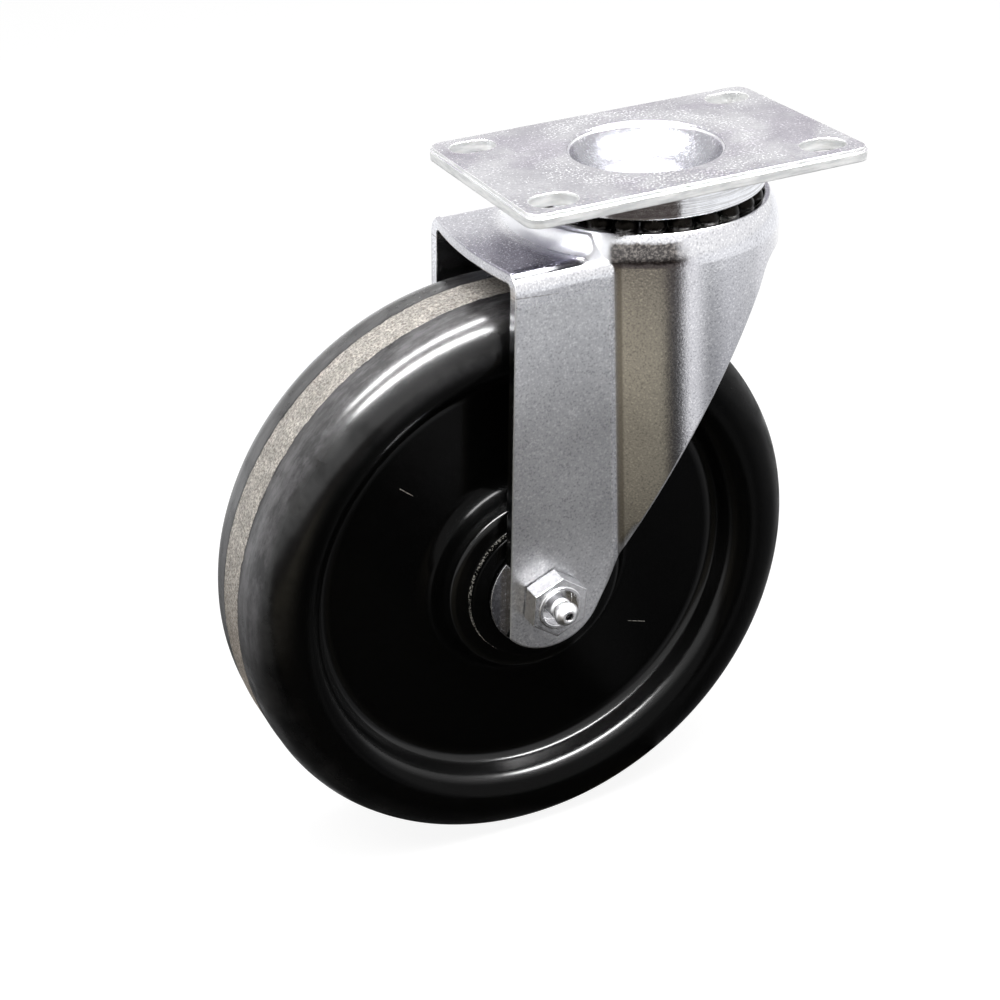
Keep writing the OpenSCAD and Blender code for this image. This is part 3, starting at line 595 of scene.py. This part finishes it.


# Radius is measured from the axle. litWornSide is the side of the wheel that is most handled and faces the
# lights, as a direction (x, z).
wheelLook = {"black": (0.0018, 0.0018, 0.0018, 1), "haze": (0.016, 0.015, 0.014, 1),
             "hazeRadius": (66.0, 75.5), "hazeScale": 55.0, "hazeLevel": (0.42, 0.75),
             "treadRadius": (75.5, 75.9), "bandHalf": (5.4, 5.0), "bandRagged": 1.6, "raggedScale": 420.0,
             "bandRough": 0.75, "fibreDark": (0.34, 0.305, 0.265, 1), "fibreLight": (1.0, 0.95, 0.88, 1),
             "fibreScale": 1500.0, "fibreLevel": (0.36, 0.66), "fibreShade": (0.72, 0.72, 0.72, 1),
             "blotchScale": 260.0, "blotchLevel": (0.35, 0.7), "bandShade": (0.5, 0.47, 0.44, 1),
             "bandShadeFacing": (0.55, 0.9), "litWornSide": (-0.64, 0.77),
             "rubbedSheen": (0.115, 0.11, 0.115, 1), "rubbedSheenRadius": (73.2, 75.2), "rubbedSheenFacing": (0.5, 0.92),
             "rubbedSheenFadeY": (6.0, -4.0), "rubbedSheenFade": (0.4, 1.0),
             "streakScale": 90.0, "streakStretch": (1, 3, 1), "streakLevel": (0.36, 0.66),
             "streakCover": (0.12, 1.0),
             "dust": (0.5, 0.48, 0.43, 1), "dustCover": 0.75, "dustRadius": 19.65, "dustWidth": (0.18, 0.08),
             "dotScale": 2300.0, "dotLevel": (0.5, 0.62),
             "hubSide": (17.5, 18.0), "webSide": (10.3, 9.9), "scratchY": (0.0, -5.0),
             "scratches": [((-74.4, -9.5, -71.2), (-71.1, -9.5, -74.1), 0.13),
                           ((-11.4, -9.5, -129.0), (-6.2, -9.5, -130.8), 0.14)],
             "mottleScale": 130.0, "sheenRadius": (70.6, 73.0), "shoulderRough": (0.1, 0.36),
             "rough": (0.13, 0.21), "roughLevel": (0.3, 0.75),
             "polishWorn": (0.5, 0.95), "polishRadius": (64.5, 69.0), "polishGap": (6.2, 5.4),
             "polishLevel": (0.25, 0.6), "polishCover": (0.45, 1.0),
             # the recess wall and the hub's step: the middle radius and the span to each side
             "shining": ((57.1, (3.6, 2.16)), (24.1, (1.4, 0.84))), "shine": 0.5,
             "specular": 0.07, "coatRough": 0.22, "coatIor": 1.5, "bump": 0.7, "bumpHeight": 0.4,
             "poreScale": 600.0, "poreShare": 0.06}


# The wheel: hazy black phenolic with a light fibre band, polished on its worn side, which faces the lights;
# there rubbed streaks are painted lighter as a sheen, and away from it the band is darker as painted shade.
def makePhenolic(look):
    material, tree, shader = newMaterial("phenolic")
    place = objectPlace(tree)
    x, y, z = partsOf(tree, place)
    width = look["bandRagged"] * mm
    ragged = mathNode(tree, "MULTIPLY_ADD", noiseNode(tree, place, look["raggedScale"], 4.0, 0.7),
                      width, -width / 2)
    side = mathNode(tree, "ABSOLUTE", mathNode(tree, "ADD", y, ragged))
    dx, dz = mathNode(tree, "SUBTRACT", x, axleX * mm), mathNode(tree, "SUBTRACT", z, axleZ * mm)
    radius = mathNode(tree, "SQRT", mathNode(tree, "ADD", times(tree, dx, dx), times(tree, dz, dz)))
    litWornX, litWornZ = look["litWornSide"]
    litWornSide = mathNode(tree, "DIVIDE", mathNode(tree, "MULTIPLY_ADD", dx, litWornX, times(tree, dz, litWornZ)), radius)
    onTread = spanMask(tree, radius, look["treadRadius"])
    band = times(tree, spanMask(tree, side, look["bandHalf"]), onTread)

    # the fibre band, darker away from the side facing the lights as painted shade
    fibre = noiseNode(tree, place, look["fibreScale"], 4.0, 0.75)
    strands = smoothMask(tree, fibre, *look["fibreLevel"])
    fibreColor = mixColor(tree, strands, look["fibreDark"], look["fibreLight"])
    blotch = noiseMask(tree, place, look["blotchScale"], look["blotchLevel"], 3.0, 0.6)
    fibreColor = mixColor(tree, blotch, tinted(tree, fibreColor, look["fibreShade"]), fibreColor)
    shadedFibre = tinted(tree, fibreColor, look["bandShade"])
    fibreColor = mixColor(tree, smoothMask(tree, litWornSide, *look["bandShadeFacing"]), shadedFibre, fibreColor)

    # the black, hazy towards the tread, with rubbed streaks painted lighter as a sheen on the side facing the
    # lights
    haze = times(tree, noiseMask(tree, place, look["hazeScale"], look["hazeLevel"], 5.0, 0.6),
                 spanMask(tree, radius, look["hazeRadius"]))
    black = mixColor(tree, haze, look["black"], look["haze"])
    streaks = noiseMask(tree, stretched(tree, place, look["streakStretch"]), look["streakScale"],
                        look["streakLevel"], 6.0, 0.7, look["streakCover"])
    rubbedSheen = times(tree, spanMask(tree, radius, look["rubbedSheenRadius"]), streaks,
                   smoothMask(tree, litWornSide, *look["rubbedSheenFacing"]),
                   spanMask(tree, y, look["rubbedSheenFadeY"], *look["rubbedSheenFade"]))
    black = mixColor(tree, rubbedSheen, black, look["rubbedSheen"])

    # dust in the hub's groove and scratches on the web
    ringLine = spanMask(tree, away(tree, radius, look["dustRadius"] * mm), look["dustWidth"])
    dots = noiseMask(tree, place, look["dotScale"], look["dotLevel"], 1.0)
    dusty = times(tree, ringLine, dots, spanMask(tree, side, look["hubSide"]))
    cut = times(tree, scratchMasks(tree, look["scratches"]), spanMask(tree, side, look["webSide"]),
                spanMask(tree, y, look["scratchY"]))
    marks = times(tree, mathNode(tree, "MAXIMUM", dusty, cut), look["dustCover"])
    black = mixColor(tree, marks, black, look["dust"])
    tree.links.new(mixColor(tree, band, black, fibreColor), shader.inputs["Base Color"])

    # the gloss, dull on the band and mottled elsewhere
    mottle = noiseNode(tree, place, look["mottleScale"], 5.0, 0.65)
    sheen = mathNode(tree, "MULTIPLY_ADD", spanMask(tree, radius, look["sheenRadius"]),
                     smoothMask(tree, mottle, *noiseSpread, *look["shoulderRough"]),
                     smoothMask(tree, mottle, *look["roughLevel"], *look["rough"]))
    rough = addNode(tree, "ShaderNodeMix", {"data_type": "FLOAT"}, i0=band, i2=sheen, i3=look["bandRough"])
    tree.links.new(rough.outputs[0], shader.inputs["Roughness"])
    shader.inputs["Specular IOR Level"].default_value = look["specular"]

    # a clear polish on the worn side and along two steps of the section
    gap = times(tree, spanMask(tree, side, look["polishGap"]), onTread)
    polish = times(tree, smoothMask(tree, litWornSide, *look["polishWorn"]),
                   spanMask(tree, radius, look["polishRadius"]), mathNode(tree, "SUBTRACT", 1.0, gap),
                   smoothMask(tree, mottle, *look["polishLevel"], *look["polishCover"]))
    for middle, span in look["shining"]:
        arc = spanMask(tree, away(tree, radius, middle * mm), span)
        polish = mathNode(tree, "MAXIMUM", polish, times(tree, arc, look["shine"]))
    tree.links.new(polish, shader.inputs["Coat Weight"])
    shader.inputs["Coat Roughness"].default_value = look["coatRough"]
    shader.inputs["Coat IOR"].default_value = look["coatIor"]

    pores = times(tree, noiseNode(tree, place, look["poreScale"], 2.0), look["poreShare"])
    height = mathNode(tree, "ADD", times(tree, fibre, band), pores)
    bump = addNode(tree, "ShaderNodeBump", Strength=look["bump"], Distance=look["bumpHeight"] * mm,
                   Height=height)
    tree.links.new(bump.outputs[0], shader.inputs["Normal"])
    return material


wheel = addPiece("wheelMoulding", makeWheel(wheelShape), "wheel", makePhenolic(wheelLook))
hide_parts("wheel")
print("wheel made")


ballLook = {"steel": (0.34, 0.33, 0.32, 1), "grease": (0.008, 0.007, 0.006, 1), "ragged": 1.2, "soft": 0.5,
            "raggedScale": 700.0, "rough": (0.22, 0.42), "roughScale": 1100.0, "greaseBelowRing": 1.9}


# Ball steel: bright below a height and black above it, where the balls run under the ring: grease, with
# painted shade in the gap.
def makeBallSteel(name, greaseLine, look):
    material, tree, shader = newMaterial(name)
    place = objectPlace(tree)
    uneven = noiseNode(tree, place, look["raggedScale"])
    height = mathNode(tree, "MULTIPLY_ADD", uneven, look["ragged"] * mm, partsOf(tree, place)[2])
    grease = spanMask(tree, height, (greaseLine - look["soft"], greaseLine + look["soft"]))
    tree.links.new(mixColor(tree, grease, look["steel"], look["grease"]), shader.inputs["Base Color"])
    rough = noiseMask(tree, place, look["roughScale"], noiseSpread, out=look["rough"])
    tree.links.new(rough, shader.inputs["Roughness"])
    shader.inputs["Metallic"].default_value = 1.0
    return material


nylonLook = {"cage": ((0.02, 0.02, 0.022, 1), (0.04, 0.04, 0.042, 1)),
             "pale": ((0.5, 0.49, 0.45, 1), (0.62, 0.61, 0.57, 1)), "cloudScale": 300.0,
             "rough": (0.35, 0.55), "roughScale": 900.0, "bump": 0.3, "bumpHeight": 0.1}


def makeNylon(name, tones, look):
    material, tree, shader = newMaterial(name)
    place = objectPlace(tree)
    cloud = noiseNode(tree, place, look["cloudScale"], 4.0)
    color = mixColor(tree, smoothMask(tree, cloud, *noiseSpread), *tones)
    tree.links.new(color, shader.inputs["Base Color"])
    rough = noiseMask(tree, place, look["roughScale"], noiseSpread, out=look["rough"])
    tree.links.new(rough, shader.inputs["Roughness"])
    bump = addNode(tree, "ShaderNodeBump", Strength=look["bump"], Distance=look["bumpHeight"] * mm,
                   Height=cloud)
    tree.links.new(bump.outputs[0], shader.inputs["Normal"])
    return material


greasedSteel = makeBallSteel("greasedSteel", ringLow - ballLook["greaseBelowRing"], ballLook)
oilyBall = makeBallSteel("oilyBall", floorZ, ballLook)  # it lies above the floor, so all of it is greasy
cageNylon = makeNylon("cageNylon", nylonLook["cage"], nylonLook)
paleNylon = makeNylon("paleNylon", nylonLook["pale"], nylonLook)

# The CAD nodes that stay, each with its finish.
finishes = {"top_plate": plateZinc, "upper_race": turnedZinc, "fork": forkZinc, "kingpin": pinZinc,
            "lower_race": plateZinc, "load_balls": greasedSteel, "lower_balls": greasedSteel,
            "thrust_washer_near": shadedWasherZinc, "thrust_washer_far": shadedWasherZinc, "axle_bolt": headZinc,
            "lock_nut": brightZinc, "nut_insert": paleNylon, "grease_fitting": fittingZinc,
            "fitting_ball": oilyBall, "fitting_spring": groundSteel, "spanner_bushing": bushSteel,
            "roller_cage": cageNylon,
            **{f"roller_{k}": groundSteel for k in range(1, 9)}}
for nodeName, material in finishes.items():
    nodes[nodeName].data.materials.clear()
    nodes[nodeName].data.materials.append(material)
print("finishes given")


def cameraAndGlossy(tree):
    path = tree.nodes.new("ShaderNodeLightPath").outputs
    seen = mathNode(tree, "ADD", path["Is Camera Ray"], path["Is Transmission Ray"], clamp=True)
    return seen, path["Is Glossy Ray"]


def seenByReflections(obj):
    obj.visible_camera = obj.visible_diffuse = obj.visible_transmission = obj.visible_shadow = False


# A pale floor, a square under the wheel that reaches half to each side: white with a soft shadow for the
# camera and reflections, and plain grey where it lights the pieces.
floorLook = {"half": 6000.0, "white": 0.9, "shadow": 0.24, "bounce": 0.9}


def makeFloor(look):
    near, far = -look["half"], look["half"]
    corners = np.array([[[near, near, floorZ], [far, near, floorZ]],
                        [[near, far, floorZ], [far, far, floorZ]]])
    floor = addObject("floor", gridMesh("floor", corners))
    material, tree, surface = stageMaterial("paleFloor")
    bounce, shadow = (addNode(tree, "ShaderNodeBsdfDiffuse", Color=(look[key],) * 3 + (1,)).outputs[0]
                      for key in ("bounce", "shadow"))
    white = addNode(tree, "ShaderNodeEmission", Color=(1, 1, 1, 1), Strength=look["white"]).outputs[0]
    shown = addNode(tree, "ShaderNodeAddShader", i0=white, i1=shadow).outputs[0]
    factor = mathNode(tree, "MAXIMUM", *cameraAndGlossy(tree))
    final = addNode(tree, "ShaderNodeMixShader", i0=factor, i1=bounce, i2=shown)
    tree.links.new(final.outputs[0], surface)
    floor.data.materials.append(material)


# A low card on the floor round the castor, seen by reflections only. Its tone changes with the direction, in
# degrees from +X. It darkens towards the middle, as paper does in the wheel's shade, sooner on the right than
# on the left. It is dark far out at the left front, and light far out at the right.
lowCard = {"reach": 3000.0, "lift": 0.3, "spokes": 64,
           "nearDark": 0.05, "nearSpan": (40.0, 520.0), "nearShift": 140.0, "shiftTurn": (-95, -80),
           "farDark": (0.10, 0.085, 0.08, 1), "farSpan": (415.0, 460.0), "farShift": 15.0,
           "farShiftTurn": (-140, -132), "farTurn": (-158, -151), "farEndTurn": (-84, -90),
           "rightLight": (1.15, 1.16, 1.18, 1), "rightSpan": (420.0, 480.0), "rightTurn": (-80, -70),
           "tones": [(-180, (1.3, 1.3, 1.32)), (-159, (1.2, 1.2, 1.19)), (-151, (0.16, 0.15, 0.13)),
                     (-145, (0.58, 0.52, 0.40)), (-106, (0.56, 0.51, 0.40)), (-101, (0.11, 0.10, 0.095)),
                     (-91, (0.15, 0.15, 0.15)), (-86, (1.1, 1.1, 1.12)), (-78, (1.0, 1.0, 1.02)),
                     (-69, (0.47, 0.475, 0.49)), (-62, (0.42, 0.425, 0.44)), (-48, (0.66, 0.665, 0.69)),
                     (-20, (0.68, 0.685, 0.70)), (-5, (0.95, 0.95, 0.97)), (35, (1.1, 1.1, 1.1)),
                     (70, (1.0, 1.0, 1.0)), (100, (0.72, 0.72, 0.73)), (150, (0.66, 0.66, 0.67)),
                     (180, (1.3, 1.3, 1.32))]}


def turnShare(degrees):
    return (degrees + 180) / 360


def turnMask(tree, around, turns, outLow=0.0, outHigh=1.0):
    return smoothMask(tree, around, turnShare(turns[0]), turnShare(turns[1]), outLow, outHigh)


# The card is a disc on a grid: two rings of radius 1 mm and reach, at equal steps of the angle.
def makeLowCard(card):
    ring = np.radians(np.linspace(0, 360, card["spokes"] + 1)[:-1])
    radii = np.array([1.0, card["reach"]])[:, None]
    height = np.full((2, card["spokes"]), floorZ + card["lift"])
    disc = np.stack([radii * np.cos(ring), radii * np.sin(ring), height], -1)
    obj = addObject("lowCard", gridMesh("lowCard", disc, closeColumns=True))
    material, tree, surface = stageMaterial("lowCardTones")
    flat = stretched(tree, objectPlace(tree), (1, 1, 0))
    distance = vectorMath(tree, "LENGTH", flat)
    around = addNode(tree, "ShaderNodeTexGradient", {"gradient_type": "RADIAL"}, i0=flat).outputs["Fac"]
    ramp = addNode(tree, "ShaderNodeValToRGB", i0=around)
    stops = ramp.color_ramp.elements
    stops.remove(stops[1])
    for k, (degrees, tone) in enumerate(card["tones"]):
        stop = stops[0] if k == 0 else stops.new(turnShare(degrees))
        stop.position = turnShare(degrees)
        stop.color = (*tone, 1)
    rightward = turnMask(tree, around, card["shiftTurn"])
    shifted = mathNode(tree, "MULTIPLY_ADD", rightward, card["nearShift"] * mm, distance)
    toned = tinted(tree, ramp.outputs[0], spanMask(tree, shifted, card["nearSpan"], card["nearDark"], 1.0))
    right = times(tree, spanMask(tree, distance, card["rightSpan"]),
                  turnMask(tree, around, card["rightTurn"]))
    toned = mixColor(tree, right, toned, card["rightLight"])
    farShift = turnMask(tree, around, card["farShiftTurn"], 0.0, card["farShift"] * mm)
    far = times(tree, spanMask(tree, mathNode(tree, "ADD", distance, farShift), card["farSpan"]),
                turnMask(tree, around, card["farTurn"]), turnMask(tree, around, card["farEndTurn"]))
    toned = mixColor(tree, far, toned, card["farDark"])
    shine = addNode(tree, "ShaderNodeEmission", Color=toned, Strength=1.0)
    tree.links.new(shine.outputs[0], surface)
    obj.data.materials.append(material)
    seenByReflections(obj)


# The world is white for the camera, a little lighter overhead in reflections, and low as a light.
worldLook = {"mirrored": (1.22, 1.9), "heights": (0.45, 0.85), "light": 0.24}


def makeWorld(look):
    world = bpy.data.worlds.new("studio")
    bpy.context.scene.world = world
    world.use_nodes = True
    tree = world.node_tree
    background = tree.nodes["Background"].inputs
    seen, glossy = cameraAndGlossy(tree)
    up = partsOf(tree, tree.nodes.new("ShaderNodeTexCoord").outputs["Generated"])[2]
    mirrored = smoothMask(tree, up, *look["heights"], *look["mirrored"])
    white = mathNode(tree, "MAXIMUM", seen, times(tree, glossy, mirrored))
    tree.links.new(mathNode(tree, "MAXIMUM", white, look["light"]), background["Strength"])
    background["Color"].default_value = (1, 1, 1, 1)


# A tube hangs at a place, in metres, and faces the castor. Its lamp lights the pieces, and a card of the same
# size is what they reflect, so that the gloss can be strong while the light stays plain. The card's corners
# are its place plus or minus half its length along one side and half its width along the other.
tubes = {"rearTube": {"place": (-0.08, 0.12, 0.66), "size": (1.25, 0.18), "light": 3.6, "gloss": 60.0},
         "frontTube": {"place": (-0.05, -0.30, 0.64), "size": (1.25, 0.22), "light": 5.6, "gloss": 85.0}}
tubeAim = (-0.05, -0.01, -0.05)
tubeGlow = {"fullAcross": 0.3, "fullAlong": 0.75}  # the share of each half that glows fully


def addTube(name, tube):
    place, (length, width) = Vector(tube["place"]), tube["size"]
    across = (place - Vector(tubeAim)).normalized()
    ahead = Vector((1, 0, 0)).cross(across).normalized()
    side = ahead.cross(across)
    light = bpy.data.lights.new(name, "AREA")
    light.shape = "RECTANGLE"
    light.size, light.size_y = length, width
    light.energy = tube["light"] * math.pi * length * width
    lamp = addObject(name, light)
    rows = [[side[i], ahead[i], across[i], place[i]] for i in range(3)]
    lamp.matrix_world = Matrix(rows + [[0, 0, 0, 1]])
    lamp.visible_glossy = False

    ends = np.array([-0.5, 0.5]) / mm
    corners = (np.array(place) / mm + ends[:, None, None] * length * np.array(side)
               + ends[None, :, None] * width * np.array(ahead))
    card = addObject(name + "Card", gridMesh(name + "Card", corners))
    material, tree, surface = stageMaterial(name + "Glow")
    offset = vectorMath(tree, "SUBTRACT", objectPlace(tree), place)
    strength = tube["gloss"]
    for direction, half, full in ((ahead, width / 2, tubeGlow["fullAcross"]),
                                  (side, length / 2, tubeGlow["fullAlong"])):
        off = mathNode(tree, "ABSOLUTE", vectorMath(tree, "DOT_PRODUCT", offset, direction))
        strength = times(tree, strength, smoothMask(tree, off, half, full * half))
    glow = addNode(tree, "ShaderNodeEmission", Color=(1, 1, 1, 1), Strength=strength)
    tree.links.new(glow.outputs[0], surface)
    card.data.materials.append(material)
    seenByReflections(card)


makeFloor(floorLook)
makeLowCard(lowCard)
makeWorld(worldLook)
for name, tube in tubes.items():
    addTube(name, tube)

# The camera looks from an azimuth and an elevation, in degrees, at a target, in metres.
view = {"azimuth": -24.06, "elevation": 28.95, "roll": -2.67, "distance": 0.4947,
        "target": (-0.04346, 0.0, -0.08737), "lens": 68.82, "sensor": 36, "clipStart": 0.01}


def makeCamera(view):
    az, el, roll = (math.radians(view[key]) for key in ("azimuth", "elevation", "roll"))
    back = Vector((math.sin(az) * math.cos(el), -math.cos(az) * math.cos(el), math.sin(el)))
    right = Vector((math.cos(az), math.sin(az), 0))
    up = back.cross(right)
    turnedRight = right * math.cos(roll) + up * math.sin(roll)
    turnedUp = up * math.cos(roll) - right * math.sin(roll)
    camera = addObject("camera", bpy.data.cameras.new("camera"))
    place = Vector(view["target"]) + back * view["distance"]
    rows = [[turnedRight[i], turnedUp[i], back[i], place[i]] for i in range(3)]
    camera.matrix_world = Matrix(rows + [[0, 0, 0, 1]])
    camera.data.lens, camera.data.sensor_width = view["lens"], view["sensor"]
    camera.data.clip_start = view["clipStart"]
    bpy.context.scene.camera = camera


makeCamera(view)
bpy.context.scene.view_settings.view_transform = "Standard"
print("studio ready")
